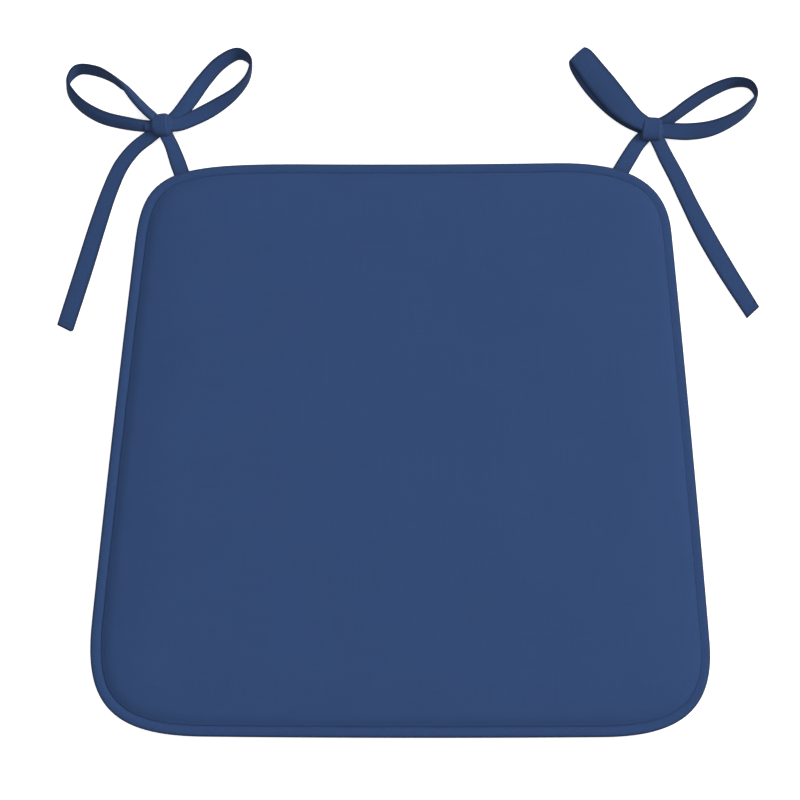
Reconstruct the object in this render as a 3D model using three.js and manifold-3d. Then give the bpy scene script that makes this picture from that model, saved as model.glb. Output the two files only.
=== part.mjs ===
// A tie-on chair pad: a tapered seat pad with a piped edge, and at each back corner one flat
// fabric tie that is knotted into a bow with two loops and one free end.
// Millimetres, +Z up. The pad lies on its back on the surface at z = 0, its wide front edge
// towards -Y, and the origin is under the middle of the piped outline.

import * as THREE from "three";
import { mergeVertices } from "three/addons/utils/BufferGeometryUtils.js";
import Module from "manifold-3d";

// Driving dimensions
const SEAM_HEIGHT = 11;
const PIPING_RADIUS = 3.1;
const PIECE_GAP = 0.3;
const STRAP_THICKNESS = 2.2;

// Navy cotton, a little different where the cloth is cut on the bias or folded
const COVER_COLOR = 0x344b75;
const PIPING_COLOR = 0x324a73;
const TIE_COLOR = 0x334971;
const COTTON_ROUGHNESS = 0.85;

// Fineness of the meshes
const OUTLINE_POINTS = 160;
const PIPING_SIDES = 8;
const STEPS_PER_STATION = 2;
const KNOT_SEGMENTS = 12;
const KNOT_EDGE_STEPS = 2;
const WELD_DISTANCE = 1e-4;

// The line that the piping's middle follows. Each row is a place where two edges would meet,
// counter-clockwise from the front left. `before` and `after` are how far the rounding reaches
// along the edge that arrives and the edge that leaves, `full` is how far the rounding keeps
// to those edges, and `bow` is how far the edge that leaves swells outwards at its middle.
const CORNERS = [
  { name: "front left", x: -201.7, y: -184.4, before: 67.5, after: 75.5, full: 0.75, bow: 1.5 },
  { name: "front right", x: 200.3, y: -185, before: 69.5, after: 56.5, full: 0.71, bow: 1.1 },
  { name: "back right", x: 174.2, y: 188.2, before: 45.5, after: 70.5, full: 0.69, bow: -2 },
  { name: "back left", x: -168, y: 187.4, before: 108.5, after: 52, full: 0.88, bow: 1.3 },
];

// The pad's side view: `inset` is measured inwards from the piping's middle line, and `z` is
// the height there.
const NOSE_INSET = PIPING_RADIUS + PIECE_GAP;
const UNDERSIDE = [
  { inset: 17, z: 0 },
  { inset: 13, z: 0.9 },
  { inset: 9.5, z: 2.6 },
  { inset: 6.5, z: 5.2 },
  { inset: 4.4, z: 8.2 },
];
const TOP_RIM = [
  { inset: 3.8, z: 12.9 },
  { inset: 5.4, z: 13.8 },
  { inset: 8, z: 15 },
  { inset: 11.5, z: 16.2 },
  { inset: 15, z: 16.9 },
  { inset: 19, z: 17.3 },
];

// The crown inside the rim: `share` is how far the ring has shrunk towards the middle.
const CROWN = [
  { share: 0.1, z: 18.4 },
  { share: 0.3, z: 19.2 },
  { share: 0.6, z: 19.8 },
  { share: 0.85, z: 20 },
];

// Each strap is a line of stations. The columns are the middle of the strap (x, y, z), its
// lean in degrees (0 and 180 lie flat, 90 stands on edge), its width, and how far its middle
// is cupped towards the outside of the loop.
const LEFT_LEG = [
  [-144.4, 178.1, 6.5, 0, 10.6, 0],
  [-147.2, 185.2, 6.5, 0, 10.6, 0],
  [-150.6, 194.5, 5.2, 8, 10.5, 0],
  [-154.4, 204.5, 3.9, 10, 9.5, 0],
  [-160.5, 216, 4.2, 0, 9, 0],
];
const LEFT_NEAR_LOOP = [
  [-160, 217.5, 4.6, 165, 8.6, 0],
  [-171.2, 217.4, 4.8, 146, 8.4, 0.3],
  [-185, 219.3, 5.2, 134, 10.1, 0.8],
  [-201, 223.4, 5.3, 132, 10.7, 0.8],
  [-214, 230.7, 5.6, 124, 11.2, 0.8],
  [-222.3, 239.5, 5.8, 113, 11.2, 0.4],
  [-224.9, 247.7, 5.9, 95, 11, 0],
  [-218.8, 256.4, 5.6, 74, 11, 0.3],
  [-206.1, 255.7, 5.4, 69, 11, 0.8],
  [-195.1, 250.1, 5.9, 80, 11, 1.2],
  [-189.7, 245.7, 6, 87, 11, 1.8],
  [-184.7, 240.8, 6, 102, 11, 2.2],
  [-179.5, 235.4, 6, 118, 11, 1.6],
  [-173.6, 229.4, 6, 125, 11, 0.9],
  [-167.2, 223.9, 5.8, 130, 10.6, 0.4],
  [-161.5, 219.5, 5.6, 130, 9, 0],
];
const LEFT_FAR_LOOP = [
  [-162, 216.5, 4.4, 8, 9, 0],
  [-152, 222.6, 3.9, 15, 10.9, 0],
  [-143.4, 233.9, 4.1, 26, 11.5, 0],
  [-132.8, 249.4, 4.8, 37, 10.9, 0],
  [-121.5, 261.8, 5.4, 48, 11, 0],
  [-109.6, 267.8, 5.7, 62, 11, 0],
  [-101.9, 263, 5.9, 81, 11, 0],
  [-102.9, 252.1, 5.9, 95, 11, 0],
  [-110.3, 241.7, 5.8, 110, 11, 0],
  [-122.8, 232.1, 5.4, 136, 11, 0],
  [-138.5, 223.2, 5.8, 155, 11, 0],
  [-150, 218.5, 6.4, 166, 10.6, 0],
  [-162, 217.5, 6.2, 172, 9, 0],
];
const LEFT_TAIL = [
  [-160.5, 217.4, 4.6, 0, 9.2, 0],
  [-169.3, 210.3, 3.5, 0, 9.5, 0],
  [-179.2, 202.7, 2, 0, 9.8, 0],
  [-188.3, 190.8, 1.5, 0, 10.4, 0],
  [-195.8, 173.1, 1.5, 0, 10.8, 0],
  [-203.3, 149.1, 1.6, 0, 11.6, 0],
  [-211.8, 119.1, 1.5, 0, 12, 0],
  [-223.5, 78.8, 1.5, 0, 11.7, 0],
];
const RIGHT_LEG = [
  [144, 178.9, 6.5, 0, 11, 0],
  [148.3, 185.6, 6.5, 0, 11, 0],
  [154.9, 196.6, 5.2, 0, 10.8, 0],
  [161.1, 206.1, 4, 0, 10.1, 0],
  [169, 214, 4.2, 0, 9.4, 0],
];
const RIGHT_NEAR_LOOP = [
  [168, 215, 5.4, 172, 9.5, 0],
  [182, 213.7, 5.6, 156, 11.1, 0],
  [195, 213.6, 4.8, 150, 11.8, 0],
  [209.3, 215.6, 4.8, 143, 11.6, 0],
  [223.1, 221, 5.4, 128, 11.2, 0],
  [234.2, 228.7, 5.8, 114, 11.4, 0.2],
  [241.1, 238.4, 5.9, 96, 11, 0],
  [237.3, 246.1, 5.8, 82, 11, 0],
  [226.5, 247.8, 5.6, 67, 11, 0],
  [210.3, 241.7, 5.4, 54, 11, 0],
  [195.2, 231.9, 5.4, 50, 11, 0],
  [183.3, 223, 5.6, 51, 10.4, 0],
  [170, 215, 5.2, 25, 9, 0],
];
const RIGHT_FOLDED_LOOP = [
  [170, 215, 6.4, 0, 10.5, 0],
  [158, 222, 6.8, 0, 13.5, 0],
  [148.2, 232.2, 6.4, 0, 17.4, 0],
  [139.4, 243.6, 5.9, 0, 18.6, 0],
  [131, 254.6, 5.2, 0, 18.2, 0],
  [123.4, 265.3, 4.5, 0, 16.6, 0],
  [120.6, 267.9, 3.1, 0, 15.4, 0],
  [121.9, 264.3, 1.8, 0, 17, 0],
  [127.5, 252.7, 1.6, 0, 15.8, 0],
  [136.5, 240.9, 1.7, 0, 15.6, 0],
  [146.5, 230.5, 2.3, 0, 15.1, 0],
  [157.3, 221.2, 3, 0, 12.6, 0],
  [170, 214, 3.8, 0, 10, 0],
];
const RIGHT_TAIL = [
  [169, 215.5, 4.8, 0, 9.6, 0],
  [174.3, 206.6, 3.5, 0, 9.9, 0],
  [179.7, 196.6, 1.9, 0, 10.6, 0],
  [187.1, 182, 1.5, 0, 11.1, 0],
  [194.5, 165.4, 1.5, 0, 11.5, 0],
  [204.7, 144, 1.6, 0, 12.6, 0],
  [218, 119.7, 1.5, 0, 12.6, 0],
  [235.9, 89.8, 1.5, 0, 11.5, 0],
];

// The folded loop lies flat, so its strap keeps one direction across, in degrees from +X.
const FOLDED_ACROSS = 44;

// How far each free end is cut off square, in degrees.
const LEFT_END_SLANT = 8;
const RIGHT_END_SLANT = 12;

// The turn of strap round the middle of each bow: its middle, how wide that band is, its
// height and depth from outside to outside, and its turn in degrees about the vertical.
const LEFT_KNOT = { x: -161.5, y: 217.6, z: 5.4, band: 11.3, depth: 16.2, height: 10, turn: 4 };
const RIGHT_KNOT = { x: 169.2, y: 215, z: 5.4, band: 12, depth: 16.3, height: 10, turn: -3 };
const KNOT_EDGE = 0.9;

// The strap's section, a point a row, as shares of its half width and half thickness.
const STRAP_SECTION = [
  [1, 0],
  [0.86, 1],
  [0.3, 1],
  [-0.3, 1],
  [-0.86, 1],
  [-1, 0],
  [-0.86, -1],
  [-0.3, -1],
  [0.3, -1],
  [0.86, -1],
];

const UP = new THREE.Vector3(0, 0, 1);

const wasm = await Module();
wasm.setup();

// Joins a row of rings, all with the same number of points, into one closed surface.
function loft(rings, looped) {
  const count = rings[0].length;
  const points = rings.flat();
  const triangles = [];
  const spans = looped ? rings.length : rings.length - 1;
  for (let ring = 0; ring < spans; ring++) {
    const low = ring * count;
    const high = ((ring + 1) % rings.length) * count;
    for (let side = 0; side < count; side++) {
      const next = (side + 1) % count;
      triangles.push(low + side, low + next, high + next);
      triangles.push(low + side, high + next, high + side);
    }
  }
  if (!looped) {
    const last = (rings.length - 1) * count;
    const startMiddle = points.push(middleOf(rings[0])) - 1;
    const endMiddle = points.push(middleOf(rings[rings.length - 1])) - 1;
    for (let side = 0; side < count; side++) {
      const next = (side + 1) % count;
      triangles.push(startMiddle, next, side);
      triangles.push(endMiddle, last + side, last + next);
    }
  }
  const geometry = new THREE.BufferGeometry().setFromPoints(points);
  geometry.setIndex(triangles);
  return geometry;
}

function middleOf(ring) {
  const sum = ring.reduce((total, point) => total.add(point), new THREE.Vector3());
  return sum.divideScalar(ring.length);
}

// A point, or a part, of the curve with the three control points a, b and c.
function mixed(a, b, c, s, t) {
  const first = a.clone().lerp(b, s);
  const second = b.clone().lerp(c, s);
  return first.lerp(second, t);
}

// The seam line seen from above: four gently bowed edges joined by full, rounded corners.
function seamLine() {
  const edges = CORNERS.map((corner, index) => {
    const end = CORNERS[(index + 1) % CORNERS.length];
    const from = new THREE.Vector2(corner.x, corner.y);
    const to = new THREE.Vector2(end.x, end.y);
    const along = to.clone().sub(from);
    const length = along.length();
    const outward = new THREE.Vector2(along.y, -along.x).divideScalar(length);
    const pull = from.clone().add(to).multiplyScalar(0.5).addScaledVector(outward, 2 * corner.bow);
    return { from, pull, to, start: corner.after / length, stop: 1 - end.before / length };
  });
  const path = new THREE.CurvePath();
  CORNERS.forEach((corner, index) => {
    const arriving = edges[(index + CORNERS.length - 1) % CORNERS.length];
    const leaving = edges[index];
    const a = mixed(arriving.from, arriving.pull, arriving.to, arriving.stop, arriving.stop);
    const b = mixed(leaving.from, leaving.pull, leaving.to, leaving.start, leaving.start);
    const into = arriving.pull.clone().lerp(arriving.to, arriving.stop).sub(a).normalize();
    const back = leaving.from.clone().lerp(leaving.pull, leaving.start).sub(b).normalize();
    const bendIn = a.clone().addScaledVector(into, corner.full * corner.before);
    const bendOut = b.clone().addScaledVector(back, corner.full * corner.after);
    const far = mixed(leaving.from, leaving.pull, leaving.to, leaving.stop, leaving.stop);
    const pull = mixed(leaving.from, leaving.pull, leaving.to, leaving.start, leaving.stop);
    path.add(new THREE.CubicBezierCurve(a, bendIn, bendOut, b));
    path.add(new THREE.QuadraticBezierCurve(b, pull, far));
  });
  const points = path.getSpacedPoints(OUTLINE_POINTS).slice(0, OUTLINE_POINTS);
  return points.map((point, index) => {
    const before = points[(index + OUTLINE_POINTS - 1) % OUTLINE_POINTS];
    const after = points[(index + 1) % OUTLINE_POINTS];
    const along = after.clone().sub(before).normalize();
    return { point, outward: new THREE.Vector2(along.y, -along.x) };
  });
}

function insetRing(seam, inset, z) {
  return seam.map(({ point, outward }) => {
    const moved = point.clone().addScaledVector(outward, -inset);
    return new THREE.Vector3(moved.x, moved.y, z);
  });
}

function padGeometry(seam) {
  const rim = TOP_RIM[TOP_RIM.length - 1];
  const rings = [
    ...UNDERSIDE.map(({ inset, z }) => insetRing(seam, inset, z)),
    insetRing(seam, NOSE_INSET, SEAM_HEIGHT),
    ...TOP_RIM.map(({ inset, z }) => insetRing(seam, inset, z)),
    ...CROWN.map(({ share, z }) =>
      insetRing(seam, rim.inset, z).map((point) =>
        point.multiply(new THREE.Vector3(1 - share, 1 - share, 1)),
      ),
    ),
  ];
  return loft(rings, false);
}

function pipingGeometry(seam) {
  const rings = seam.map(({ point, outward }) => {
    const middle = new THREE.Vector3(point.x, point.y, SEAM_HEIGHT);
    const across = new THREE.Vector3(outward.x, outward.y, 0);
    return Array.from({ length: PIPING_SIDES }, (_, side) => {
      const angle = (2 * Math.PI * side) / PIPING_SIDES;
      return middle
        .clone()
        .addScaledVector(across, PIPING_RADIUS * Math.cos(angle))
        .addScaledVector(UP, -PIPING_RADIUS * Math.sin(angle));
    });
  });
  return loft(rings, true);
}

// One length of strap. `outside` is 1 where the outside of its loops is on the left of the
// line, and -1 where it is on the right. `acrossAngle` fixes the direction across, for a
// strap that folds back over itself, and `endSlant` turns the last section.
function strapGeometry(stations, { outside, acrossAngle, endSlant = 0 }) {
  const line = new THREE.CatmullRomCurve3(
    stations.map(([x, y, z]) => new THREE.Vector3(x, y, z)),
  );
  const shape = new THREE.CatmullRomCurve3(
    stations.map(([, , , lean, width, cup]) => new THREE.Vector3(lean, width, cup)),
  );
  const steps = STEPS_PER_STATION * (stations.length - 1);
  const rings = [];
  for (let step = 0; step <= steps; step++) {
    const middle = line.getPoint(step / steps);
    const along = line.getTangent(step / steps);
    const { x: lean, y: width, z: cup } = shape.getPoint(step / steps);
    const level = new THREE.Vector3(-along.y, along.x, 0).normalize().multiplyScalar(outside);
    if (acrossAngle !== undefined) {
      const angle = THREE.MathUtils.degToRad(acrossAngle);
      level.set(Math.cos(angle), Math.sin(angle), 0);
    }
    const tilt = THREE.MathUtils.degToRad(lean);
    const across = level.multiplyScalar(Math.cos(tilt)).addScaledVector(UP, Math.sin(tilt));
    const through = along.clone().cross(across).normalize();
    const slant = step === steps ? Math.tan(THREE.MathUtils.degToRad(endSlant)) : 0;
    rings.push(
      STRAP_SECTION.map(([side, face]) => {
        const reach = (side * width) / 2;
        const rise = (face * STRAP_THICKNESS) / 2 - outside * cup * (1 - side * side);
        return middle
          .clone()
          .addScaledVector(across, reach)
          .addScaledVector(through, rise)
          .addScaledVector(along, reach * slant);
      }),
    );
  }
  return loft(rings, false);
}

// The turn of strap that holds the bow: a short oval barrel lying along X.
function knotGeometry({ x, y, z, band, depth, height, turn }) {
  const oval = new THREE.Shape();
  oval.absellipse(0, 0, depth / 2 - KNOT_EDGE, height / 2 - KNOT_EDGE, 0, 2 * Math.PI);
  const geometry = new THREE.ExtrudeGeometry(oval, {
    depth: band - 2 * KNOT_EDGE,
    curveSegments: KNOT_SEGMENTS,
    bevelThickness: KNOT_EDGE,
    bevelSize: KNOT_EDGE,
    bevelSegments: KNOT_EDGE_STEPS,
  });
  geometry.translate(0, 0, KNOT_EDGE - band / 2);
  geometry.rotateX(Math.PI / 2);
  geometry.rotateZ(Math.PI / 2 + THREE.MathUtils.degToRad(turn));
  geometry.translate(x, y, z);
  geometry.deleteAttribute("normal");
  geometry.deleteAttribute("uv");
  return mergeVertices(geometry, WELD_DISTANCE);
}

function toSolid(geometry) {
  const vertProperties = Float32Array.from(geometry.attributes.position.array);
  const triVerts = Uint32Array.from(geometry.index.array);
  return new wasm.Manifold(new wasm.Mesh({ numProp: 3, vertProperties, triVerts }));
}

function fused(geometries) {
  const whole = geometries.map(toSolid).reduce((sum, solid) => sum.add(solid));
  const { vertProperties, triVerts } = whole.getMesh();
  const geometry = new THREE.BufferGeometry();
  geometry.setAttribute("position", new THREE.BufferAttribute(vertProperties, 3));
  geometry.setIndex(new THREE.BufferAttribute(triVerts, 1));
  return geometry;
}

function tieLeftGeometry() {
  return fused([
    strapGeometry(LEFT_LEG, { outside: 1 }),
    strapGeometry(LEFT_NEAR_LOOP, { outside: 1 }),
    strapGeometry(LEFT_FAR_LOOP, { outside: 1 }),
    strapGeometry(LEFT_TAIL, { outside: 1, endSlant: LEFT_END_SLANT }),
    knotGeometry(LEFT_KNOT),
  ]);
}

function tieRightGeometry() {
  return fused([
    strapGeometry(RIGHT_LEG, { outside: -1 }),
    strapGeometry(RIGHT_NEAR_LOOP, { outside: -1 }),
    strapGeometry(RIGHT_FOLDED_LOOP, { outside: -1, acrossAngle: FOLDED_ACROSS }),
    strapGeometry(RIGHT_TAIL, { outside: -1, endSlant: RIGHT_END_SLANT }),
    knotGeometry(RIGHT_KNOT),
  ]);
}

function cottonMesh(name, geometry, color) {
  const finish = { color, roughness: COTTON_ROUGHNESS, metalness: 0 };
  const mesh = new THREE.Mesh(geometry, new THREE.MeshStandardMaterial(finish));
  mesh.name = name;
  return mesh;
}

const seam = seamLine();
const chairPad = new THREE.Group();
chairPad.add(cottonMesh("pad", padGeometry(seam), COVER_COLOR));
chairPad.add(cottonMesh("piping", pipingGeometry(seam), PIPING_COLOR));
chairPad.add(cottonMesh("tie_left", tieLeftGeometry(), TIE_COLOR));
chairPad.add(cottonMesh("tie_right", tieRightGeometry(), TIE_COLOR));

export default chairPad;
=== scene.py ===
"""The looks of a tie-on chair pad: a tapered seat pad in navy cotton with a piped edge, and at
each back corner a flat cotton tie that is knotted into a bow. It lies on a white table, seen
from nearly straight above. Metres, +Z up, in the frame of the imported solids."""

import math

import bpy
import numpy as np
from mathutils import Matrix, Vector


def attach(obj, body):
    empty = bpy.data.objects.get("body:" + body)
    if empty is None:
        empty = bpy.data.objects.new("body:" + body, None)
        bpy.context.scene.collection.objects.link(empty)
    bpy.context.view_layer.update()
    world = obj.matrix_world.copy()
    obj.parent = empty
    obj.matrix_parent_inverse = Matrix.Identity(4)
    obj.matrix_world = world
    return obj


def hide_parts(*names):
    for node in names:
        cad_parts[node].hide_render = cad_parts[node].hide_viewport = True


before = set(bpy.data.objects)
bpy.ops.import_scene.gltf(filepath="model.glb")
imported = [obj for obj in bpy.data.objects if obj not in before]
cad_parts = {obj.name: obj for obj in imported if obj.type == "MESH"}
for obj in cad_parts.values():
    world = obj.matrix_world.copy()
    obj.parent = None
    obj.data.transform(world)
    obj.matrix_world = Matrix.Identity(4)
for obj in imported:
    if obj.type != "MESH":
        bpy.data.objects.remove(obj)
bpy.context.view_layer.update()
scene = bpy.context.scene

# The camera: almost straight above, its picture as wide as it is high
CAMERA_TARGET = Vector((0, 0.0292, 0.014))
CAMERA_DISTANCE = 1.2
CAMERA_ELEVATION = math.radians(82)
CAMERA_LENS_MM = 82.26
SENSOR_MM = 36

# Linear colours of the cotton of the cover, the piping and the ties, a little different from each other
COVER_COLOR = (0.0299, 0.0702, 0.1905)
PIPING_COLOR = (0.0291, 0.0678, 0.184)
TIE_COLOR = (0.0295, 0.0655, 0.1745)

# The cotton's surface, and its threads: how far apart they lie and how far they stand out.
# The slubs are a thread's thicker places. They are SLUB_WIDTH wide, and their pattern is
# scaled by SLUB_SCALE along the thread. The darkest shares are those of the colour that are
# left between the slubs and between the crossings of the weave.
COTTON_ROUGHNESS = 0.92
COTTON_GLOSS = 0.25
COTTON_SHEEN = 0.04
SHEEN_ROUGHNESS = 0.5
THREAD_PITCH = 0.0005
TIE_THREAD_PITCH = 0.00045
THREAD_RELIEF = 0.00009
BUMP_STRENGTH = 0.7
CROSSINGS_SHARE = 0.4
SLUB_WIDTH = 0.0007
SLUB_SCALE = 0.02
SLUB_TONE = 0.16
SLUB_RELIEF = 0.5
DARKEST_SLUB = 0.8
WEAVE_SHADE = 0.16
DARKEST_WEAVE = 0.93
BIAS = math.radians(45)

# How much darker painted shade makes the cloth along its folded edges, where it curves away
# from the light. It gets darker from a share of the way to the folded edge on.
PAINTED_SHADE_STRENGTH = 0.62
PAINTED_SHADE_SHARPNESS = 1.5
STRAP_PAINTED_SHADE_START = 0.6
KNOT_PAINTED_SHADE_START = 0.72
PIPING_PAINTED_SHADE_START = 0.35

# The white table, and the lamps over it. Each lamp has a name, a place, a point that it is
# aimed at, the length of its sides, and a power in watts.
TABLE_COLOR = (0.9, 0.9, 0.9)
TABLE_GLOW = 0.7
TABLE_REACH = 20
LAMPS = (
    ("overhead", (0, -0.15, 1.6), (0, -0.15, 0), 2.4, 17.4),
    ("side", (4.32, 1.92, 3.69), (0, 0, 0), 2.2, 226),
)
WORLD_STRENGTH = 0.2

# The seam that joins the two panels, with the piping in it
SEAM_HEIGHT = 0.011

# How finely the pad is divided: the steps along each quarter of the seam and in each curve
# that the seam is read from, and the rounds that even out the points of the top
SIDE_STEPS = 76
CURVE_STEPS = 200
RELAX_ROUNDS = 600

# The piping: the cord's radius, how round its section is (1 is round, less is boxier), and
# the degrees from its outer side to its top at which the section has a point. From there the
# strip first lies over the cord, at shares of the radius inwards and up, then slopes down to
# the crease, at shares of the way and of the drop, and is tucked in under the cover.
PIPING_RADIUS = 0.0031
PIPING_ROUNDNESS = 0.72
PIPING_ANGLES = (0, 12, 24, 36, 48, 60, 75, 90)
STRIP_TOP = ((0.25, 0.995), (0.5, 0.965))
STRIP_SLOPE = ((0.5, 0.25), (0.8, 0.6))
STRIP_GAP = 0.00005
STRIP_TUCK_IN = 0.0006
STRIP_TUCK_DOWN = 0.0005

# The line that the piping's middle follows. Each row is a place where two edges would meet,
# counter-clockwise from the front left: x, y, how far the rounding reaches along the edge
# that arrives and the edge that leaves, how far it keeps to those edges, and how far the
# edge that leaves swells outwards.
CORNERS = (
    (-0.2017, -0.1844, 0.0675, 0.0755, 0.75, 0.0015),
    (0.2003, -0.185, 0.0695, 0.0565, 0.71, 0.0011),
    (0.1742, 0.1882, 0.0455, 0.0705, 0.69, -0.002),
    (-0.168, 0.1874, 0.1085, 0.052, 0.88, 0.0013),
)

# The pad's underside up to the seam: how far inwards from the piping's middle line, and how
# high.
UNDERSIDE = (
    (0.017, 0.0),
    (0.0148, 0.0003),
    (0.0125, 0.0011),
    (0.0102, 0.0022),
    (0.008, 0.0037),
    (0.0061, 0.0054),
    (0.0045, 0.0071),
    (0.0036, 0.0084),
    (0.0032, 0.0097),
    (0.0032, SEAM_HEIGHT),
)

# The crease between the piping and the top: how far it lies inwards from the piping's middle
# line, and how high. The cover swells against the piping most on the side that faces
# SNUG_TOWARDS: there the crease is closer to the middle line and higher.
CREASE_INSET = 0.0039
CREASE_HEIGHT = 0.0126
SNUG_TOWARDS = math.radians(20)
SNUG_INSET = -0.0008
SNUG_HEIGHT = 0.0014
CREASE_WANDER = 0.00012
CREASE_WAVES = (0.061, 0.037, 0.0231)

# The cover's last turns under the crease: how far inwards from it, and how far below it
BELOW_CREASE = ((0.0004, 0.0009), (0.0002, 0.0003))

# The top's rim: how far inwards from the crease, and how far above it. The cover rises on
# the filling, dips where the seam allowance ends, and levels out.
RIM = (
    (0.0, 0.0),
    (0.0003, 0.0003),
    (0.0007, 0.00058),
    (0.0012, 0.00088),
    (0.00165, 0.00112),
    (0.0021, 0.00122),
    (0.00255, 0.0015),
    (0.0032, 0.00185),
    (0.0042, 0.00227),
    (0.0056, 0.00278),
    (0.0074, 0.0033),
    (0.0096, 0.00384),
    (0.0122, 0.00425),
    (0.0151, 0.00462),
)
RIM_WANDER = 0.0002
RIM_WAVES = (0.083, 0.047, 0.0293)
CROWN_RISE = 0.002
CROWN_POWER = 2

# How the cover swells: it is held up to RIM_HELD inwards from the crease, and is quite free
# RIM_FREED further in.
RIM_HELD = 0.0042
RIM_FREED = 0.006
SWELL_PRESSURE = 4
SWELL_FRAMES = 20
SWELL_CAP = 0.0009

# Cotton straps. The columns are the middle of the strap (x, y, z), its lean in degrees (0 and
# 180 lie flat, 90 stands on edge), its width, and how far its middle is cupped outwards, or
# inwards where that is less than 0.
LEFT_LEG = (
    (-0.1444, 0.1781, 0.0065, 0, 0.0106, 0),
    (-0.1472, 0.1852, 0.0065, 0, 0.0106, 0),
    (-0.1506, 0.1945, 0.0052, 8, 0.0105, 0),
    (-0.1544, 0.2045, 0.0046, 10, 0.0095, 0),
    (-0.1605, 0.216, 0.0056, 0, 0.009, 0),
)
LEFT_NEAR_LOOP = (
    (-0.16, 0.2175, 0.0046, 165, 0.0086, 0),
    (-0.1712, 0.2174, 0.0048, 146, 0.0084, 0.0003),
    (-0.185, 0.2193, 0.0052, 134, 0.0101, 0.0008),
    (-0.201, 0.2234, 0.0053, 132, 0.0107, 0.0008),
    (-0.214, 0.2307, 0.0056, 124, 0.0112, 0.0008),
    (-0.2223, 0.2396, 0.0058, 116, 0.0112, 0.0004),
    (-0.2249, 0.2477, 0.0059, 95, 0.011, 0),
    (-0.2188, 0.2564, 0.0056, 71, 0.011, 0.0003),
    (-0.2061, 0.2557, 0.0054, 69, 0.011, 0.0008),
    (-0.1951, 0.2501, 0.0059, 80, 0.011, 0.0012),
    (-0.19, 0.2455, 0.006, 86, 0.011, 0.0022),
    (-0.1849, 0.2406, 0.006, 103, 0.011, 0.0028),
    (-0.1796, 0.2354, 0.006, 118, 0.011, 0.0024),
    (-0.1736, 0.2295, 0.006, 126, 0.011, 0.0018),
    (-0.1672, 0.2239, 0.0058, 130, 0.0108, 0.001),
    (-0.1615, 0.2195, 0.0056, 130, 0.009, 0),
)
LEFT_FAR_LOOP = (
    (-0.162, 0.2165, 0.0044, 8, 0.009, 0),
    (-0.152, 0.2226, 0.0053, 0, 0.0105, 0),
    (-0.1434, 0.2339, 0.005, 10, 0.0106, 0),
    (-0.1328, 0.2494, 0.0048, 37, 0.0109, 0),
    (-0.1215, 0.2618, 0.0054, 48, 0.011, 0),
    (-0.1096, 0.2678, 0.0057, 62, 0.011, 0),
    (-0.1019, 0.263, 0.0059, 81, 0.011, 0),
    (-0.1029, 0.2521, 0.0059, 95, 0.011, 0),
    (-0.1103, 0.2417, 0.0058, 110, 0.011, 0),
    (-0.1228, 0.2321, 0.0054, 136, 0.011, 0),
    (-0.1385, 0.2232, 0.0055, 173, 0.0104, 0),
    (-0.15, 0.2185, 0.006, 184, 0.0105, 0),
    (-0.162, 0.2175, 0.0069, 178, 0.009, 0),
)
LEFT_TAIL = (
    (-0.1605, 0.2174, 0.0046, 0, 0.0092, 0),
    (-0.1693, 0.2103, 0.0035, 0, 0.0095, 0),
    (-0.1792, 0.2027, 0.002, 0, 0.0098, 0),
    (-0.1883, 0.1908, 0.0015, 0, 0.0104, 0),
    (-0.1958, 0.1731, 0.0015, 0, 0.0108, 0),
    (-0.2033, 0.1491, 0.0016, 0, 0.0116, 0),
    (-0.2118, 0.1191, 0.0015, 0, 0.012, 0),
    (-0.2233, 0.0798, 0.0015, 0, 0.0117, 0),
)
RIGHT_LEG = (
    (0.144, 0.1789, 0.0065, 0, 0.011, 0),
    (0.1483, 0.1856, 0.0065, 0, 0.011, 0),
    (0.1549, 0.1966, 0.0052, 0, 0.0108, 0),
    (0.1611, 0.2061, 0.004, 0, 0.0101, 0),
    (0.169, 0.214, 0.0042, 0, 0.0094, 0),
)
RIGHT_NEAR_LOOP = (
    (0.168, 0.215, 0.0068, 172, 0.0095, 0),
    (0.182, 0.2137, 0.0062, 156, 0.0111, 0),
    (0.195, 0.2136, 0.0048, 150, 0.0118, 0),
    (0.2093, 0.2156, 0.0048, 143, 0.0116, 0),
    (0.2231, 0.221, 0.0054, 128, 0.0112, 0),
    (0.2342, 0.2287, 0.0058, 114, 0.0114, 0.0002),
    (0.2411, 0.2384, 0.0059, 96, 0.011, 0),
    (0.2373, 0.2461, 0.0058, 82, 0.011, 0),
    (0.2265, 0.2478, 0.0056, 67, 0.011, 0),
    (0.2103, 0.2417, 0.0054, 54, 0.011, 0),
    (0.1952, 0.2319, 0.0054, 50, 0.011, 0),
    (0.1833, 0.223, 0.0056, 51, 0.0104, 0),
    (0.17, 0.215, 0.0052, 25, 0.009, 0),
)
RIGHT_FOLDED_LOOP = (
    (0.17, 0.215, 0.0084, 0, 0.0105, 0),
    (0.158, 0.222, 0.0082, 1, 0.0135, -0.0002),
    (0.1482, 0.2322, 0.0067, 7, 0.0176, -0.0005),
    (0.1394, 0.2436, 0.0054, 8, 0.0187, -0.0007),
    (0.131, 0.2546, 0.0049, 7, 0.0183, -0.0006),
    (0.1234, 0.2653, 0.0044, 3, 0.0167, -0.0003),
    (0.1206, 0.2679, 0.0031, 0, 0.0154, 0),
    (0.1219, 0.2643, 0.0019, 0, 0.017, 0),
    (0.1275, 0.2527, 0.0019, 1, 0.0156, 0),
    (0.1365, 0.2409, 0.0021, 2, 0.0154, 0),
    (0.1465, 0.2305, 0.0026, 1, 0.015, 0),
    (0.1573, 0.2212, 0.0034, 0, 0.0126, 0),
    (0.17, 0.214, 0.0038, 0, 0.01, 0),
)
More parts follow.
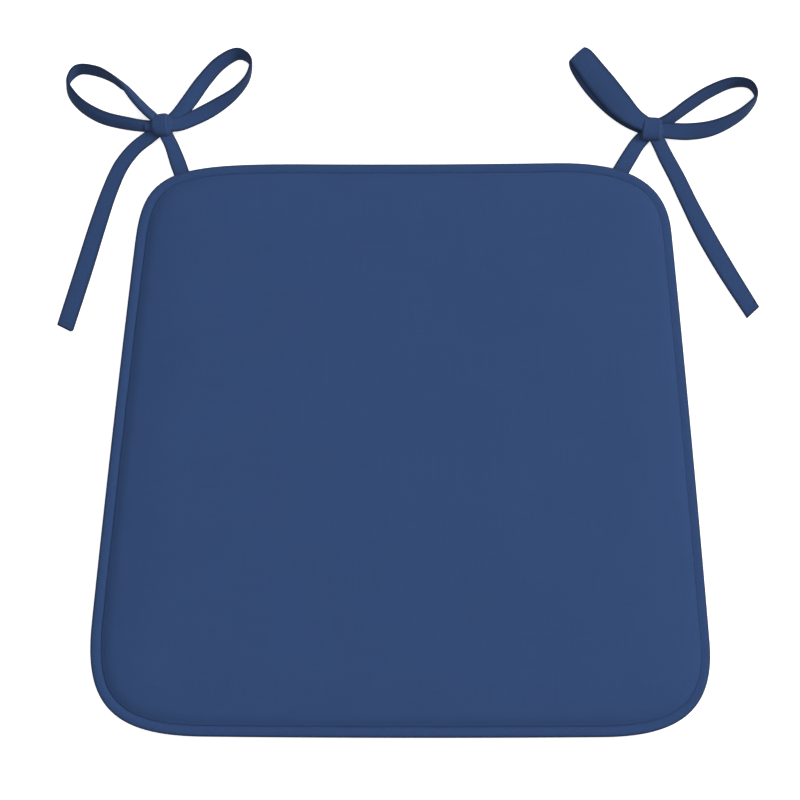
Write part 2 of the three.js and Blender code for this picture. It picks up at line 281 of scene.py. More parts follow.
RIGHT_TAIL = (
    (0.169, 0.2155, 0.0064, 0, 0.0096, 0),
    (0.1743, 0.2066, 0.0048, 0, 0.0099, 0),
    (0.1797, 0.1966, 0.0019, 0, 0.0106, 0),
    (0.1871, 0.182, 0.0015, 0, 0.0111, 0),
    (0.1945, 0.1654, 0.0015, 0, 0.0115, 0),
    (0.2047, 0.144, 0.0016, 0, 0.0126, 0),
    (0.218, 0.1197, 0.0015, 0, 0.0126, 0),
    (0.2354, 0.0906, 0.0015, 0, 0.0115, 0),
)
STRAP_THICKNESS = 0.0022
STRAP_WIDTH = 0.0115
STRAP_STEPS = 8

# The direction across the folded loop, which stays the same where it folds back
FOLDED_ACROSS = math.radians(44)

# The cut end of each tie: its slant, which makes it longer on the pad's side, and the radii
# of its outer corner and of its corner on the pad's side
LEFT_END_SLANT = math.radians(10)
LEFT_END_CORNERS = (0.0006, 0.0022)
RIGHT_END_SLANT = math.radians(12)
RIGHT_END_CORNERS = (0.0006, 0.0007)

# The hem at that end. Each row has how far behind the last station it is, what share of the
# strap's thickness it has and how much shade is painted on it, most along its rounded edge. A row
# of stitches pulls it in. HEM_EDGE is how far the hem's edge is ahead of the last station.
HEM_EDGE = 0.0009
HEM = (
    (0.0035, 1, 0),
    (0.003, 1, 0.06),
    (0.0026, 0.8, 0.28),
    (0.0022, 1, 0.06),
    (0.0016, 1, 0.04),
    (0.001, 1, 0.12),
    (0.0005, 1, 0.32),
    (0, 0.97, 0.62),
    (-0.0004, 0.88, 0.92),
    (-0.0007, 0.66, 1.1),
    (-0.00085, 0.4, 1.15),
    (-HEM_EDGE, 0.2, 1.15),
)

# The turn of strap round the middle of each bow: its middle, its depth and height from
# outside to outside, and its turn about the vertical. In the folds, each row is a line round
# the knot: how far to the right of the middle it lies at the back and at the front, in
# millimetres, the shares of the depth and height that it reaches, and how much shade is
# painted there, where less than 0 is a painted highlight. KNOT_ROUNDNESS is 1 for a round
# section, and less for a boxier one.
KNOT_COLUMNS = 56
KNOT_ROUNDNESS = 0.8
FOLD_STEPS = 3
LEFT_KNOT = ((-0.1615, 0.2176, 0.0054), 0.0162, 0.01, math.radians(4))
LEFT_FOLDS = (
    (-11.2, -11.2, 0.30, 0.20, 0.1),
    (-11.0, -11.0, 0.38, 0.36, 0.1),
    (-10.4, -10.4, 0.42, 0.46, 0),
    (-9.4, -9.4, 0.42, 0.45, 0.1),
    (-8.6, -8.6, 0.43, 0.51, 0),
    (-7.7, -7.7, 0.43, 0.52, 0.1),
    (-6.9, -6.9, 0.45, 0.58, 0.1),
    (-6.2, -6.2, 0.49, 0.70, 0.1),
    (-5.8, -5.8, 0.55, 0.83, 0.05),
    (-5.3, -5.3, 0.64, 0.92, 0),
    (-4.7, -4.7, 0.72, 0.96, 0),
    (-4.0, -4.0, 0.79, 0.985, 0),
    (-3.2, -3.2, 0.86, 0.97, 0.15),
    (-2.4, -2.4, 0.91, 1.0, 0),
    (-1.6, -1.5, 0.95, 0.98, 0.18),
    (-0.6, -0.5, 0.98, 1.005, 0.06),
    (0.4, 0.5, 1.0, 0.985, 0.15),
    (1.4, 1.6, 1.01, 1.005, 0.06),
    (2.4, 2.6, 1.01, 0.985, 0.06),
    (3.0, 3.3, 1.01, 0.98, 0.12),
    (3.6, 3.9, 1.0, 1.02, -0.55),
    (4.0, 4.3, 0.99, 1.0, -0.4),
    (4.4, 4.7, 0.97, 0.92, 0.1),
    (4.7, 5.0, 0.95, 0.80, 0.2),
    (5.0, 5.3, 0.92, 0.70, 0.1),
    (5.6, 5.8, 0.86, 0.60, 0),
    (7.0, 6.8, 0.76, 0.48, 0),
    (8.6, 7.8, 0.60, 0.36, 0),
    (10.4, 8.6, 0.40, 0.26, 0),
)
RIGHT_KNOT = ((0.1692, 0.215, 0.0054), 0.0163, 0.01, math.radians(-3))
RIGHT_FOLDS = (
    (-5.4, -7.0, 0.40, 0.36, 0),
    (-5.1, -6.8, 0.66, 0.62, 0.1),
    (-4.8, -6.5, 0.82, 0.82, 0.4),
    (-4.5, -6.2, 0.91, 0.94, 0.5),
    (-4.2, -5.9, 0.95, 0.99, 0.15),
    (-3.7, -5.3, 0.975, 1.01, -0.05),
    (-2.9, -4.2, 0.99, 0.99, 0),
    (-1.8, -2.6, 1.0, 1.0, 0),
    (0.5, 0.5, 1.0, 1.005, 0),
    (3.0, 3.2, 1.0, 1.0, 0.05),
    (4.3, 4.5, 0.99, 0.98, 0.1),
    (5.1, 5.3, 0.98, 1.01, -0.15),
    (5.6, 5.8, 0.97, 0.98, 0),
    (6.0, 6.1, 0.94, 0.86, 0),
    (7.0, 6.6, 0.84, 0.74, 0),
    (8.6, 7.2, 0.66, 0.56, 0),
    (10.4, 7.6, 0.44, 0.36, 0),
)


class Cloth:
    """The points, faces and cloth pattern of one mesh. The pattern gives each face corner its
    place on the flat cloth, in metres, across and along the thread, and how much shade is
    painted on it: 1 along a folded edge, and less than 0 where a highlight is painted."""

    def __init__(self):
        self.points = []
        self.faces = []
        self.pattern = []

    def add_points(self, points):
        first = len(self.points)
        self.points.extend(np.asarray(points).reshape(-1, 3).tolist())
        return first

    def add_face(self, corners, places):
        self.faces.append([int(corner) for corner in corners])
        self.pattern.extend(places)

    def add_quads(self, index, places):
        """One quad for each cell of a grid of point numbers, with the same grid of places."""
        rows, columns = index.shape
        for i in range(rows - 1):
            for j in range(columns - 1):
                cell = ((i, j), (i, j + 1), (i + 1, j + 1), (i + 1, j))
                self.add_face([index[c] for c in cell], [places[c] for c in cell])

    def make(self, name, material):
        mesh = bpy.data.meshes.new(name)
        mesh.from_pydata(self.points, [], self.faces)
        pattern = np.asarray(self.pattern, np.float32)
        layer = mesh.uv_layers.new(name="cloth")
        layer.data.foreach_set("uv", pattern[:, :2].ravel())
        # The painted shade and painted highlights of each face corner, for the material
        painted_shading = mesh.attributes.new("painted_shading", "FLOAT", "CORNER")
        painted_shading.data.foreach_set("value", pattern[:, 2].ravel())
        mesh.shade_smooth()
        mesh.materials.append(material)
        piece = bpy.data.objects.new(name, mesh)
        scene.collection.objects.link(piece)
        return piece


def loft(cloth, rings, across, along, painted_shading, looped=False):
    """Adds the surface through rings, an array of (ring, column, xyz). across is each column's
    place across the cloth with one more for the closing column, and along each ring's. Next is
    the painted shade, less than 0 for a painted highlight, for each column or for each ring and column."""
    count, columns, _ = rings.shape
    first = cloth.add_points(rings)
    index = first + np.arange(count * columns).reshape(count, columns)
    index = np.concatenate([index, index[:, :1]], axis=1)
    if looped:
        index = np.concatenate([index, index[:1]], axis=0)
    across, along, painted_shading = np.broadcast_arrays(np.atleast_2d(across), np.reshape(along, (-1, 1)), painted_shading)
    places = np.stack([across, along, painted_shading], axis=-1)
    cloth.add_quads(index, places)
    if not looped:
        cloth.add_face(index[0, -2::-1], places[0, -2::-1])
        cloth.add_face(index[-1, :-1], places[-1, :-1])


# Below this, the square root of the distance from one row to the next counts as none.
SAME_PLACE = 1e-4


def smooth_line(rows, steps):
    """A centripetal Catmull-Rom curve through the rows, with that many steps from one row to
    the next: its points and their directions."""
    rows = np.asarray(rows, float)
    before = 2 * rows[0] - rows[1]
    after = 2 * rows[-1] - rows[-2]
    rows = np.vstack([before, rows, after])
    points, slopes = [], []
    last = len(rows) - 4
    for k in range(last + 1):
        a, b, c, d = rows[k : k + 4]
        gap = np.sqrt([np.linalg.norm(b - a), np.linalg.norm(c - b), np.linalg.norm(d - c)])
        middle = gap[1] if gap[1] > SAME_PLACE else 1.0
        first = gap[0] if gap[0] > SAME_PLACE else middle
        third = gap[2] if gap[2] > SAME_PLACE else middle
        leave = ((b - a) / first - (c - a) / (first + middle) + (c - b) / middle) * middle
        arrive = ((c - b) / middle - (d - b) / (middle + third) + (d - c) / third) * middle
        t = np.arange(steps + (k == last))[:, None] / steps
        square = 3 * (c - b) - 2 * leave - arrive
        cube = 2 * (b - c) + leave + arrive
        points.append(b + t * (leave + t * (square + t * cube)))
        slopes.append(leave + t * (2 * square + 3 * t * cube))
    return np.vstack(points), np.vstack(slopes)


def unit(vectors):
    return vectors / np.linalg.norm(vectors, axis=-1, keepdims=True)


def distances(points):
    """How far along the line each point is."""
    steps = np.linalg.norm(np.diff(points, axis=0), axis=1)
    return np.concatenate([[0], np.cumsum(steps)])


def make_camera():
    data = bpy.data.cameras.new("camera")
    data.lens = CAMERA_LENS_MM
    data.sensor_width = SENSOR_MM
    data.clip_start = 0.01
    camera = bpy.data.objects.new("camera", data)
    back = Vector((0, -math.cos(CAMERA_ELEVATION), math.sin(CAMERA_ELEVATION)))
    camera.location = CAMERA_TARGET + CAMERA_DISTANCE * back
    camera.rotation_euler = (math.pi / 2 - CAMERA_ELEVATION, 0, 0)
    scene.collection.objects.link(camera)
    scene.camera = camera


def link(tree, source, target):
    tree.links.new(source, target)


def math_node(tree, operation, first, second):
    """The socket of a sum, product or other operation on two sockets or numbers."""
    node = tree.nodes.new("ShaderNodeMath")
    node.operation = operation
    for socket, value in zip(node.inputs, (first, second)):
        if isinstance(value, bpy.types.NodeSocket):
            link(tree, value, socket)
        else:
            socket.default_value = value
    return node.outputs[0]


def mix_node(tree, factor, first, second):
    node = tree.nodes.new("ShaderNodeMix")
    for socket, value in zip((node.inputs[0], node.inputs[2], node.inputs[3]), (factor, first, second)):
        if isinstance(value, bpy.types.NodeSocket):
            link(tree, value, socket)
        else:
            socket.default_value = value
    return node.outputs[0]


def weave_height(tree, place, pitch):
    """Plain weave: threads that pass over and under each other, pitch apart. A wave texture
    has a band every tenth of pi at a scale of 1."""
    bands = {}
    for direction in "XY":
        wave = tree.nodes.new("ShaderNodeTexWave")
        wave.bands_direction = direction
        wave.inputs["Scale"].default_value = math.pi / 10 / pitch
        link(tree, place, wave.inputs["Vector"])
        bands[direction] = wave.outputs["Fac"]
    checker = tree.nodes.new("ShaderNodeTexChecker")
    checker.inputs["Scale"].default_value = 1 / pitch
    link(tree, place, checker.inputs["Vector"])
    over = mix_node(tree, checker.outputs["Fac"], bands["X"], bands["Y"])
    both = math_node(tree, "MULTIPLY", bands["X"], bands["Y"])
    return mix_node(tree, CROSSINGS_SHARE, over, both)


def noise(tree, place, size):
    node = tree.nodes.new("ShaderNodeTexNoise")
    node.inputs["Scale"].default_value = 1 / size
    link(tree, place, node.inputs["Vector"])
    return node.outputs["Fac"]


def stretched(tree, place, scale, turn=0.0):
    node = tree.nodes.new("ShaderNodeMapping")
    node.inputs["Scale"].default_value = scale
    node.inputs["Rotation"].default_value = (0, 0, turn)
    link(tree, place, node.inputs["Vector"])
    return node.outputs["Vector"]


def cotton(name, color, pitch=THREAD_PITCH, turn=0.0, patch=0.06, patchiness=0.08):
    """Matte woven cotton. The threads follow the cloth's own pattern, turned by turn. Its dye is
    uneven by patchiness, in patches as large as patch."""
    material = bpy.data.materials.new(name)
    material.use_nodes = True
    tree = material.node_tree
    shader = tree.nodes["Principled BSDF"]
    shader.inputs["Roughness"].default_value = COTTON_ROUGHNESS
    shader.inputs["Specular IOR Level"].default_value = COTTON_GLOSS
    shader.inputs["Sheen Weight"].default_value = COTTON_SHEEN
    shader.inputs["Sheen Roughness"].default_value = SHEEN_ROUGHNESS
    source = tree.nodes.new("ShaderNodeUVMap")
    source.uv_map = "cloth"
    place = stretched(tree, source.outputs["UV"], (1, 1, 1), turn)
    weave = weave_height(tree, place, pitch)
    warp = noise(tree, stretched(tree, place, (1, SLUB_SCALE, 1)), SLUB_WIDTH)
    weft = noise(tree, stretched(tree, place, (SLUB_SCALE, 1, 1)), SLUB_WIDTH)
    slub = math_node(tree, "ADD", warp, weft)
    fading = noise(tree, place, patch)
    # Threads differ a little from each other, sink into shade between their crossings, and
    # the dye is a little uneven.
    tone = math_node(tree, "MULTIPLY_ADD", slub, SLUB_TONE)
    tone.node.inputs[2].default_value = DARKEST_SLUB
    shade = math_node(tree, "MULTIPLY_ADD", weave, WEAVE_SHADE)
    shade.node.inputs[2].default_value = DARKEST_WEAVE
    wash = math_node(tree, "MULTIPLY_ADD", fading, patchiness)
    wash.node.inputs[2].default_value = 1 - patchiness / 2
    level = math_node(tree, "MULTIPLY", math_node(tree, "MULTIPLY", tone, shade), wash)
    # Painted shade: the colour is darkened along a folded edge, where the cloth curves away from the
    # light, and lightened where a highlight is painted.
    painted_shading = tree.nodes.new("ShaderNodeAttribute")
    painted_shading.attribute_name = "painted_shading"
    painted_light = math_node(tree, "MULTIPLY_ADD", painted_shading.outputs["Fac"], -PAINTED_SHADE_STRENGTH)
    painted_light.node.inputs[2].default_value = 1
    level = math_node(tree, "MULTIPLY", level, painted_light)
    tint = tree.nodes.new("ShaderNodeVectorMath")
    tint.operation = "SCALE"
    tint.inputs[0].default_value = color
    link(tree, level, tint.inputs["Scale"])
    link(tree, tint.outputs["Vector"], shader.inputs["Base Color"])
    bump = tree.nodes.new("ShaderNodeBump")
    bump.inputs["Strength"].default_value = BUMP_STRENGTH
    bump.inputs["Distance"].default_value = THREAD_RELIEF
    slub_relief = math_node(tree, "MULTIPLY", slub, SLUB_RELIEF)
    link(tree, math_node(tree, "ADD", weave, slub_relief), bump.inputs["Height"])
    link(tree, bump.outputs["Normal"], shader.inputs["Normal"])
    return material


def painted_shade_share(side, start):
    """How much painted shade a place gets near the folded edge: 0 up to start, and 1 where side is 1.
    """
    return np.clip((side - start) / (1 - start), 0, 1) ** PAINTED_SHADE_SHARPNESS


def strap_section():
    """The strap's section as shares of its half width and half thickness: the folded cloth is
    soft, so it thins out towards both edges, and along the edge the stitches pull it in."""
    over = (
        (1, 0), (0.985, 0.3), (0.95, 0.5), (0.9, 0.67), (0.84, 0.78), (0.78, 0.84),
        (0.72, 0.91), (0.62, 0.98), (0.3, 1.04), (0, 1.05), (-0.3, 1.04), (-0.62, 0.98),
        (-0.78, 0.88), (-0.9, 0.68), (-0.97, 0.42), (-1, 0),
    )
    under = [(side, -face) for side, face in over[-2:0:-1]]
    return np.array(over + tuple(under))


def strap_rings(stations, outside, across_angle=None):
    """The sections of one length of strap, the line through their middles, and the directions
    forward and across at its far end. outside is 1 where the outside of its loops is on the
    left of the line, and -1 where it is on the right. across_angle fixes the direction across
    where the strap folds back over itself."""
    stations = np.asarray(stations, float)
    middle, slope = smooth_line(stations[:, :3], STRAP_STEPS)
    # The steps in width and cup count beside those in degrees once they are in millimetres.
    weighed = stations[:, 3:] * (1, 1000, 1000)
    shape = smooth_line(weighed, STRAP_STEPS)[0] / (1, 1000, 1000)
    along = unit(slope)
    level = np.zeros_like(along)
    level[:, 0] = -along[:, 1] * outside
    level[:, 1] = along[:, 0] * outside
    if across_angle is not None:
        level[:] = (math.cos(across_angle), math.sin(across_angle), 0)
    lean = np.radians(shape[:, :1])
    across = unit(level) * np.cos(lean) + np.array([0, 0, 1]) * np.sin(lean)
    through = unit(np.cross(along, across))
    section = strap_section()
    side = section[None, :, :1]
    face = section[None, :, 1:]
    width = shape[:, None, 1:2]
    cup = shape[:, None, 2:3]
    reach = side * width / 2
    rise = face * STRAP_THICKNESS / 2 - outside * cup * (1 - side**2)
    rings = middle[:, None] + across[:, None] * reach + through[:, None] * rise
    return rings, middle, along[-1], across[-1]


def strap(cloth, stations, outside, across_angle=None, slant=None, corners=(0, 0)):
    """Adds one length of strap to the cloth, and gives the line through its middle. slant
    cuts its far end, which is hemmed, and corners are the radii of that end's corners."""
    rings, middle, forward, across = strap_rings(stations, outside, across_angle)
    section = strap_section()
    painted_light = np.zeros((len(rings), 1))
    if slant is not None:
        rings, painted_light = hemmed(rings, middle, forward, across, slant, corners)
    side = np.append(section[:, 0], section[0, 0])
    along = distances(rings.mean(axis=1))
    # Painted shade along both folded edges of the strap, and on its hemmed end
    painted_shading = np.maximum(painted_shade_share(np.abs(side), STRAP_PAINTED_SHADE_START), painted_light)
    loft(cloth, rings, side * STRAP_WIDTH / 2, along, painted_shading)
    return middle


def hemmed(rings, middle, forward, across, slant, corners):
    """Gives a strap its hemmed end: cut at a slant, stitched across, with a rounded edge and
    rounded corners, whose radii are corners. Also gives the shade painted on each ring."""
    last = rings[-1] - middle[-1]
    sideways = (last @ across)[:, None]
    thickness = last - sideways * across
    radius = np.where(sideways > 0, corners[1], corners[0])
    kept = rings[(middle - middle[-1]) @ forward < -HEM[0][0]]
    hem = []
    for behind, thick, _ in HEM:
        beside = np.clip(radius - (HEM_EDGE + behind), 0, None)
        drawn_in = radius - np.sqrt(radius**2 - beside**2)
        reach = sideways * (1 - drawn_in / (STRAP_WIDTH / 2))
        edge = reach * across + thickness * thick + (reach * math.tan(slant) - behind) * forward
        hem.append(middle[-1] + edge)
    painted_light = np.append(np.zeros(len(kept)), [row[2] for row in HEM])
    return np.concatenate([kept, np.array(hem)]), painted_light[:, None]


def knot(cloth, place, depth, height, turn, folds):
    """Adds the turn of strap that holds a bow: a soft barrel with folds, whose ends go down
    into the straps that pass through it."""
    folds = np.array(folds)
    lines, _ = smooth_line(folds[:, :4], FOLD_STEPS)
    painted_light = np.interp(np.arange(len(lines)) / FOLD_STEPS, np.arange(len(folds)), folds[:, 4])
    angles = np.linspace(0, 2 * math.pi, KNOT_COLUMNS, endpoint=False)
    cosine, sine = np.cos(angles), np.sin(angles)
    rings = []
    for back, front, deep, high in lines:
        y = deep * depth / 2 * np.sign(cosine) * np.abs(cosine) ** KNOT_ROUNDNESS
        z = high * height / 2 * np.sign(sine) * np.abs(sine) ** KNOT_ROUNDNESS
        share = 0.5 + y / depth
        rings.append(np.stack([(front + (back - front) * share) / 1000, y, z], axis=1))
    rings = np.array(rings)
    c, s = math.cos(turn), math.sin(turn)
    rings = rings @ np.array([[c, s, 0], [-s, c, 0], [0, 0, 1]]) + np.array(place)
    along = lines[:, 0] / 1000
    around = np.append(angles, 2 * math.pi) * (depth + height) / 4
    # Painted shade towards the back edge of the turn, with the painted shade and painted highlights of
    # the folds
    edge = painted_shade_share(np.append(cosine, 1), KNOT_PAINTED_SHADE_START)
    painted_shading = np.maximum(edge, painted_light[:, None]) + np.minimum(painted_light, 0)[:, None]
    loft(cloth, rings, around, along, painted_shading)


def tie(name, outside, lengths, knot_values, material):
    """One bow: its lengths of strap in the order in which the strap runs, each with what is
    special about it, and its knot."""
    cloth = Cloth()
    routes = [strap(cloth, stations, outside, **special) for stations, special in lengths]
    knot(cloth, *knot_values)
    piece = cloth.make(name, material)
    return piece, np.vstack(routes)


def blended(a, b, c, s, t):
    """The point, or for s and t apart the control point, of the quadratic curve a, b, c."""
    first = a + (b - a) * s
    second = b + (c - b) * s
    return first + (second - first) * t


def curve(controls):
    """Points of the Bezier curve with those control points, without its last."""
    t = np.linspace(0, 1, CURVE_STEPS, endpoint=False)[:, None]
    rows = [np.asarray(control)[None] for control in controls]
    while len(rows) > 1:
        rows = [a + (b - a) * t for a, b in zip(rows, rows[1:])]
    return rows[0]


def seam_line():
    """The seam seen from above, as four sides that meet in the middle of the rounded corners,
    each with SIDE_STEPS even steps: its points and its outward directions."""
    edges = []
    for k, corner in enumerate(CORNERS):
        start = np.array(corner[:2])
        end = np.array(CORNERS[(k + 1) % 4][:2])
        along = end - start
        length = np.linalg.norm(along)
        outward = np.array([along[1], -along[0]]) / length
        pull = (start + end) / 2 + 2 * corner[5] * outward
        edges.append((start, pull, end, corner[3] / length, 1 - CORNERS[(k + 1) % 4][2] / length))
    pieces, middles = [], []
    for k, (_, _, reach_in, reach_out, full, _) in enumerate(CORNERS):
        start, pull, end, _, stop = edges[k - 1]
        a = blended(start, pull, end, stop, stop)
        into = unit(pull + (end - pull) * stop - a)
        start, pull, end, begin, stop = edges[k]
        b = blended(start, pull, end, begin, begin)
        back = unit(start + (pull - start) * begin - b)
        middles.append(sum(map(len, pieces)) + CURVE_STEPS // 2)
        pieces.append(curve((a, a + into * full * reach_in, b + back * full * reach_out, b)))
        far = blended(start, pull, end, stop, stop)
        pieces.append(curve((b, blended(start, pull, end, begin, stop), far)))
    fine = np.vstack(pieces)
    fine = np.roll(fine, -middles[0], axis=0)
    fine = np.vstack([fine, fine[:1]])
    ends = [m - middles[0] for m in middles] + [len(fine) - 1]
    at = distances(fine)
    wanted = [np.linspace(at[a], at[b], SIDE_STEPS, endpoint=False) for a, b in zip(ends, ends[1:])]
    wanted = np.concatenate(wanted)
    points = np.stack([np.interp(wanted, at, fine[:, k]) for k in range(2)], axis=1)
    along = unit(np.roll(points, -1, axis=0) - np.roll(points, 1, axis=0))
    return points, np.stack([along[:, 1], -along[:, 0]], axis=1)


def filled(ring):
    """The inside of a ring of four sides as a square grid of points, evenly relaxed."""
    n = len(ring) // 4
    grid = np.zeros((n + 1, n + 1, ring.shape[1]))
    grid[:, 0] = ring[: n + 1]
    grid[n, :] = ring[n : 2 * n + 1]
    grid[:, n] = ring[2 * n : 3 * n + 1][::-1]
    grid[0, :] = np.vstack([ring[3 * n :], ring[:1]])[::-1]
    u = np.linspace(0, 1, n + 1)[:, None, None]
    v = np.linspace(0, 1, n + 1)[None, :, None]
    sides = (1 - v) * grid[:, :1] + v * grid[:, -1:] + (1 - u) * grid[:1] + u * grid[-1:]
    near = (1 - v) * grid[:1, :1] + v * grid[:1, -1:]
    far = (1 - v) * grid[-1:, :1] + v * grid[-1:, -1:]
    inside = sides - (1 - u) * near - u * far
    grid[1:-1, 1:-1] = inside[1:-1, 1:-1]
    for _ in range(RELAX_ROUNDS):
        grid[1:-1, 1:-1] = (grid[:-2, 1:-1] + grid[2:, 1:-1] + grid[1:-1, :-2] + grid[1:-1, 2:]) / 4
    return grid


def grid_numbers(ring, first):
    """Point numbers of a filled ring's grid: the ring's own on its sides, then new ones."""
    n = len(ring) // 4
    index = np.zeros((n + 1, n + 1), int)
    index[:, 0] = ring[: n + 1]
    index[n, :] = ring[n : 2 * n + 1]
    index[:, n] = ring[2 * n : 3 * n + 1][::-1]
    index[0, :] = np.append(ring[3 * n :], ring[:1])[::-1]
    index[1:-1, 1:-1] = first + np.arange((n - 1) ** 2).reshape(n - 1, n - 1)
    return index


def crown_height(points, ring):
    """How high the top is inside its rim, from how far each point is towards the middle."""
    around = np.arctan2(ring[:, 1], ring[:, 0])
    order = np.argsort(around)
    reach = np.linalg.norm(ring, axis=1)
    angle = np.arctan2(points[..., 1], points[..., 0])
    edge = np.interp(angle, around[order], reach[order], period=2 * math.pi)
    out = np.clip(np.linalg.norm(points, axis=-1) / edge, 0, 1)
    return CREASE_HEIGHT + RIM[-1][1] + CROWN_RISE * (1 - out**CROWN_POWER)


def uneven(along, sizes, phase):
    """A gentle unevenness from -1 to 1 along a line, from a few waves of those sizes."""
    waves = [np.sin(2 * math.pi * along / size + phase * (k + 1)) for k, size in enumerate(sizes)]
    return sum(waves) / len(sizes)


def crease_place(points, outward):
    """How far inwards from the piping's middle line the crease lies and how high, all round."""
    side = np.arctan2(outward[:, 1], outward[:, 0]) - SNUG_TOWARDS
    snug = ((1 + np.cos(side)) / 2) ** 2
    wander = CREASE_WANDER * uneven(distances(points), CREASE_WAVES, phase=0.7)
    return CREASE_INSET + SNUG_INSET * snug + wander, CREASE_HEIGHT + SNUG_HEIGHT * snug**0.7


def pad_rows(points, outward):
    """The rings of the pad from the underside over the seam and the crease to the top."""
    crease, height = crease_place(points, outward)
    along = distances(points)
    rows = [(np.full(len(points), inset), z) for inset, z in UNDERSIDE]
    rows.extend((crease + inwards, height - below) for inwards, below in BELOW_CREASE)
    reach = RIM[-1][0]
    for inwards, above in RIM:
        share = 1 - inwards / reach
        lift = RIM_WANDER * share * uneven(along, RIM_WAVES, phase=2.1)
        inset = CREASE_INSET + inwards + (crease - CREASE_INSET) * share
        rows.append((inset, CREASE_HEIGHT + above + lift + (height - CREASE_HEIGHT) * share**2))
    return [
        np.column_stack([points - outward * inset[:, None], np.broadcast_to(z, len(points))])
        for inset, z in rows
    ]


def without_painted_shade(places):
    """Places on flat cloth with no painted shade on them."""
    return np.concatenate([places, np.zeros_like(places[..., :1])], axis=-1)


def make_pad(material):
    """The filled cushion: an underside that lies flat, a rim that is drawn in to the seam, and
    a low crown. Also gives how freely the filling lets each point of the cover move."""
    points, outward = seam_line()
    cloth = Cloth()
    rows = pad_rows(points, outward)
    seam_row = len(UNDERSIDE) - 1
    section = np.array([(outward[0] @ (points[0] - row[0, :2]), row[0, 2]) for row in rows])
    lengths = distances(section)
    places = []
    for k, row in enumerate(rows):
        spread = lengths[k] if k <= seam_row else lengths[-1] - lengths[k]
        edge = rows[0 if k <= seam_row else -1]
        places.append(edge[:, :2] + outward * spread)
    first = cloth.add_points(rows)
    count = len(points)
    index = first + np.arange(len(rows) * count).reshape(-1, count)
    closed = np.concatenate([index, index[:, :1]], axis=1)
    cloth.add_quads(closed, without_painted_shade(np.concatenate([places, np.array(places)[:, :1]], axis=1)))
    free = np.zeros(len(rows) * count)
    for k, (inwards, _) in enumerate(RIM):
        row = len(rows) - len(RIM) + k
        free[row * count : (row + 1) * count] = np.clip((inwards - RIM_HELD) / RIM_FREED, 0, 1)
    for row, flip in ((0, True), (-1, False)):
        ring = rows[row][:, :2]
        grid = filled(ring)
        height = np.zeros(grid.shape[:2]) if flip else crown_height(grid, ring)
        solid = np.concatenate([grid, height[..., None]], axis=-1)
        start = cloth.add_points(solid[1:-1, 1:-1])
        free = np.append(free, np.full((grid.shape[0] - 2) ** 2, 0.0 if flip else 1.0))
        numbers = grid_numbers(index[row], start)
        if flip:
            numbers, grid = numbers[:, ::-1], grid[:, ::-1]
        cloth.add_quads(numbers.T, without_painted_shade(grid.transpose(1, 0, 2)))
    return cloth.make("cushion", material), free


def swell(piece, free):
    """Lets the cover swell on its filling in Blender's cloth simulation, and applies what it
    gives, with no point moved further than SWELL_CAP."""
    held = piece.vertex_groups.new(name="held")
    for share in np.unique(free):
        held.add(np.flatnonzero(free == share).tolist(), 1 - float(share), "REPLACE")
    cover = piece.modifiers.new("swell", "CLOTH")
    cover.settings.vertex_group_mass = held.name
    cover.settings.use_pressure = True
    cover.settings.uniform_pressure_force = SWELL_PRESSURE
    cover.settings.effector_weights.gravity = 0
    cover.collision_settings.use_collision = False
    cover.point_cache.frame_end = SWELL_FRAMES
    for number in range(1, SWELL_FRAMES + 1):
        scene.frame_set(number)
    settled = piece.evaluated_get(bpy.context.evaluated_depsgraph_get())
    after = np.empty(3 * len(free))
    settled.data.vertices.foreach_get("co", after)
    before = np.empty(3 * len(free))
    piece.data.vertices.foreach_get("co", before)
    move = (after - before).reshape(-1, 3)
    length = np.linalg.norm(move, axis=1)[:, None] + 1e-9
    move *= SWELL_CAP * np.tanh(length / SWELL_CAP) / length * free[:, None]
    scene.frame_set(1)
    piece.modifiers.remove(cover)
    piece.vertex_groups.remove(held)
    piece.data.vertices.foreach_set("co", before + move.ravel())
    piece.data.update()


def make_piping(material):
    """The piping: a cord in a bias-cut strip, whose two sides come together in the seam."""
    points, outward = seam_line()
    count = len(points)
    along = distances(np.vstack([points, points[:1]]))
    cloth = Cloth()
    crease, height = crease_place(points, outward)
    tip = -crease
    rise = height - SEAM_HEIGHT - STRIP_GAP
    upper = []
    for angle in np.radians(PIPING_ANGLES):
        side = PIPING_RADIUS * math.cos(angle) ** PIPING_ROUNDNESS
        upper.append((np.full(count, side), PIPING_RADIUS * math.sin(angle) ** PIPING_ROUNDNESS))
    for inwards, up in STRIP_TOP:
        upper.append((np.full(count, -inwards * PIPING_RADIUS), up * PIPING_RADIUS))
    inner, level = upper[-1]
    for way, drop in STRIP_SLOPE:
        upper.append((inner + way * (tip - inner), level + drop * (rise - level)))
    upper.append((tip, rise))
    upper.append((tip - STRIP_TUCK_IN, rise - STRIP_TUCK_DOWN))
    section = upper + [(side, -up) for side, up in upper[:0:-1]]
    rings = np.empty((count, len(section), 3))
    for k, (side, up) in enumerate(section):
        rings[:, k, :2] = points + outward * np.reshape(side, (-1, 1))
        rings[:, k, 2] = SEAM_HEIGHT + up
    rings = rings[:, ::-1]
    around = distances(np.vstack([rings[0], rings[0][:1]]))
    # Painted shade on the cord's outer side, darkest at its outermost edge
    outer = np.array([side.max() for side, _ in section[::-1]]) / PIPING_RADIUS
    painted_shading = painted_shade_share(np.append(outer, outer[0]), PIPING_PAINTED_SHADE_START)
    loft(cloth, rings, around, along, painted_shading, looped=True)
    return cloth.make("piping_edge", material)


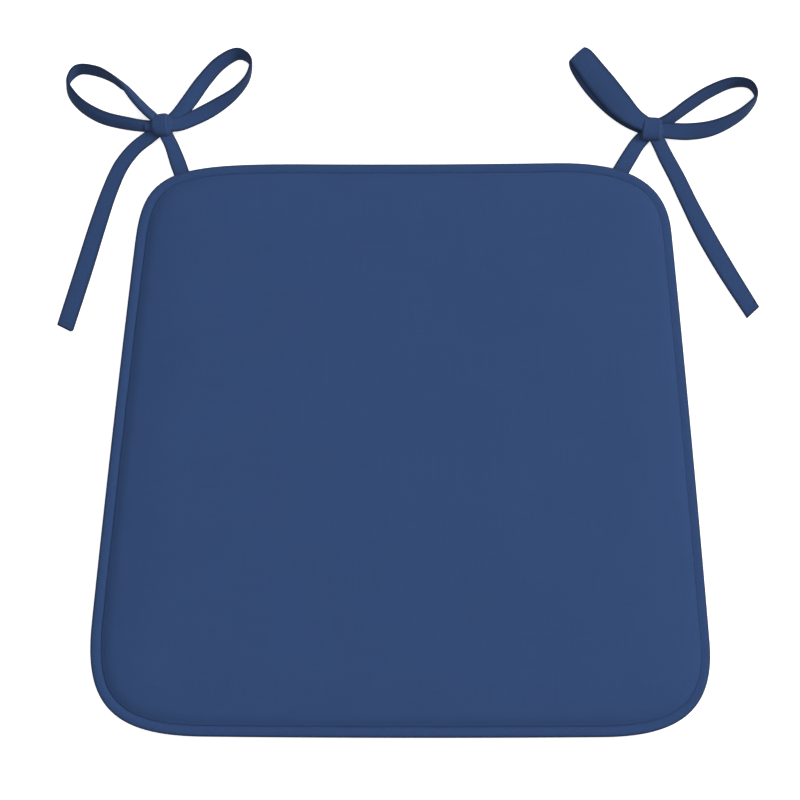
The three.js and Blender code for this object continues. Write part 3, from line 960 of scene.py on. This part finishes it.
def make_table():
    half = TABLE_REACH
    mesh = bpy.data.meshes.new("table")
    corners = [(-half, -half, 0), (half, -half, 0), (half, half, 0), (-half, half, 0)]
    mesh.from_pydata(corners, [], [(0, 1, 2, 3)])
    material = bpy.data.materials.new("white_table")
    material.use_nodes = True
    shader = material.node_tree.nodes["Principled BSDF"]
    shader.inputs["Base Color"].default_value = (*TABLE_COLOR, 1)
    shader.inputs["Roughness"].default_value = 1
    shader.inputs["Specular IOR Level"].default_value = 0
    shader.inputs["Emission Color"].default_value = (1, 1, 1, 1)
    shader.inputs["Emission Strength"].default_value = TABLE_GLOW
    mesh.materials.append(material)
    table = bpy.data.objects.new("table", mesh)
    table.visible_diffuse = False
    scene.collection.objects.link(table)


def make_light(name, place, aim, side, power):
    data = bpy.data.lights.new(name, "AREA")
    data.shape = "SQUARE"
    data.size = side
    data.energy = power
    light = bpy.data.objects.new(name, data)
    light.location = place
    direction = Vector(aim) - Vector(place)
    light.rotation_euler = direction.to_track_quat("-Z", "Y").to_euler()
    scene.collection.objects.link(light)


def make_world(strength):
    """A soft white light that comes from everywhere above the table."""
    world = bpy.data.worlds.new("studio")
    world.use_nodes = True
    tree = world.node_tree
    direction = tree.nodes.new("ShaderNodeTexCoord")
    parts = tree.nodes.new("ShaderNodeSeparateXYZ")
    link(tree, direction.outputs["Generated"], parts.inputs[0])
    above = math_node(tree, "GREATER_THAN", parts.outputs["Z"], 0.0)
    background = tree.nodes["Background"]
    background.inputs["Color"].default_value = (1, 1, 1, 1)
    link(tree, math_node(tree, "MULTIPLY", above, strength), background.inputs["Strength"])
    scene.world = world


make_camera()

tie_cotton = cotton("tie_cotton", TIE_COLOR, pitch=TIE_THREAD_PITCH, patch=0.0016, patchiness=0.3)
bow_left, left_route = tie(
    "bow_left",
    1,
    (
        (LEFT_LEG, {}),
        (LEFT_NEAR_LOOP, {}),
        (LEFT_FAR_LOOP, {}),
        (LEFT_TAIL, {"slant": LEFT_END_SLANT, "corners": LEFT_END_CORNERS}),
    ),
    (*LEFT_KNOT, LEFT_FOLDS),
    tie_cotton,
)
bow_right, right_route = tie(
    "bow_right",
    -1,
    (
        (RIGHT_LEG, {}),
        (RIGHT_NEAR_LOOP, {}),
        (RIGHT_FOLDED_LOOP, {"across_angle": FOLDED_ACROSS}),
        (RIGHT_TAIL, {"slant": RIGHT_END_SLANT, "corners": RIGHT_END_CORNERS}),
    ),
    (*RIGHT_KNOT, RIGHT_FOLDS),
    tie_cotton,
)
for bow, route, node in ((bow_left, left_route, "tie_left"), (bow_right, right_route, "tie_right")):
    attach(bow, "root")
    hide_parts(node)

cushion, cover_free = make_pad(cotton("cover_cotton", COVER_COLOR))
swell(cushion, cover_free)
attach(cushion, "root")
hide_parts("pad")
piping_cotton = cotton("piping_cotton", PIPING_COLOR, turn=BIAS, patch=0.002, patchiness=0.25)
piping_edge = make_piping(piping_cotton)
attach(piping_edge, "root")
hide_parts("piping")
for piece in (cushion, piping_edge):
    finer = piece.modifiers.new("finer", "SUBSURF")
    finer.levels = 1
    finer.render_levels = 1

make_table()
for lamp in LAMPS:
    make_light(*lamp)
make_world(WORLD_STRENGTH)
scene.view_settings.view_transform = "Standard"
scene.cycles.use_denoising = True
